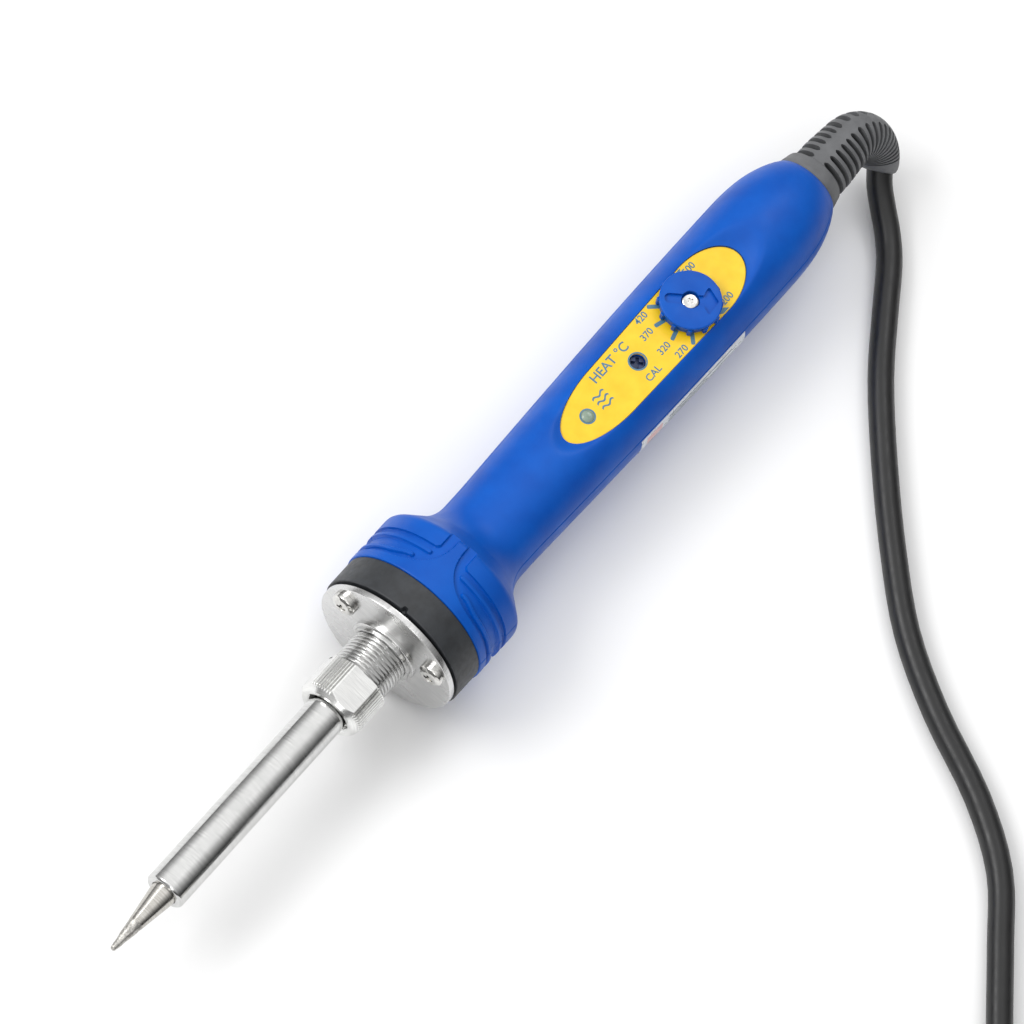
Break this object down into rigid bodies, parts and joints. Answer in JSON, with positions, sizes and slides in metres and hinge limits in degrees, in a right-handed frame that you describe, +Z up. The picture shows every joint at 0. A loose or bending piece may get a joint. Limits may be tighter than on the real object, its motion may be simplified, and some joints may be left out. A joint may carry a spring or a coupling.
{
  "type": "soldering iron",
  "caption": "Hand-held soldering iron with a temperature dial in its grip, a conical tip in a steel sleeve, a cord guard and a mains cord coiled to its plug.",
  "frame": {"origin": "on the bench under the middle of the iron's length, cord left out", "axes": "-X toward the tip along the iron's axis, +X toward the cord end, +Z up out of the dial, -Y the side the cord lies on"},
  "size_m": [0.328, 0.2383, 0.0388],
  "materials": {
    "tip_plating": "satin",
    "sleeve_steel": "satin",
    "nut_chrome": "polished",
    "nipple_steel": "satin",
    "flange_steel": "satin",
    "screw_steel": "polished",
    "tag_brass": "satin",
    "black_phenolic": "satin",
    "alumina": "matte",
    "lead_insulation": "matte",
    "sleeving": "matte",
    "earth_insulation": "matte",
    "blue_plastic": "satin",
    "label_print": "satin",
    "label_foil": "satin",
    "lamp_plastic": "gloss",
    "red_led": "gloss",
    "pot_steel": "satin",
    "pot_case": "satin",
    "trimmer_blue": "satin",
    "trimmer_white": "satin",
    "circuit_board": "satin",
    "chip_black": "matte",
    "capacitor_sleeve": "satin",
    "film_orange": "gloss",
    "resistor_body": "satin",
    "grey_rubber": "satin",
    "cord_jacket": "satin",
    "clamp_plastic": "matte",
    "plug_rubber": "satin",
    "pin_brass": "polished"
  },
  "bodies": {
    "handle": {"threaded_nipple": "nipple_steel", "flange_plate": "flange_steel", "flange_screws": "screw_steel", "nipple_locknut": "flange_steel", "earth_tag": "tag_brass", "insulator_ring": "black_phenolic", "heating_element": "alumina", "heater_collar": "alumina", "heater_leads": "lead_insulation", "lead_sleeving": "sleeving", "earth_wire": "earth_insulation", "upper_shell": "blue_plastic", "lower_shell": "blue_plastic", "shell_screws": "screw_steel", "label_plate": "label_print", "rating_label": "label_foil", "lamp_lens": "lamp_plastic", "indicator_led": "red_led", "potentiometer_body": "pot_case", "trimmer_body": "trimmer_blue", "control_board": "circuit_board", "control_chip": "chip_black", "triac": "chip_black", "reservoir_capacitor": "capacitor_sleeve", "film_capacitor": "film_orange", "resistors": "resistor_body", "mains_conductors": "lead_insulation", "inner_cord": "cord_jacket", "cord_clamp": "clamp_plastic", "clamp_screws": "screw_steel", "cord_guard": "grey_rubber", "cord_run": "cord_jacket", "cord_coil": "cord_jacket", "cord_tail": "cord_jacket", "plug_body": "plug_rubber", "plug_pins": "pin_brass"},
    "sleeve": {"tip_sleeve": "sleeve_steel", "soldering_tip": "tip_plating"},
    "nut": {"retaining_nut": "nut_chrome"},
    "dial": {"dial_knob": "blue_plastic", "dial_screw": "screw_steel", "potentiometer_shaft": "pot_steel"},
    "trimmer": {"trimmer_rotor": "trimmer_white"}
  },
  "joints": [
    {"name": "dial_turn", "type": "hinge", "parent": "handle", "child": "dial", "pos_m": [0.0795, 0, 0.0294], "axis": [0, 0, -1], "range_deg": [0, 255]},
    {"name": "trimmer_turn", "type": "hinge", "parent": "handle", "child": "trimmer", "pos_m": [0.0605, 0, 0.0274], "axis": [0, 0, -1], "range_deg": [-130, 130]},
    {"name": "sleeve_slide", "type": "slide", "parent": "handle", "child": "sleeve", "axis": [-1, 0, 0], "range_m": [0, 0.005]},
    {"name": "nut_turn", "type": "hinge", "parent": "sleeve", "child": "nut", "pos_m": [-0.0455, 0, 0.0194], "axis": [-1, 0, 0], "range_deg": [0, 1800]}
  ],
  "couplings": [
    {"joint": "nut_turn", "follows": "sleeve_slide", "rad_per_m": 6283.2}
  ]
}
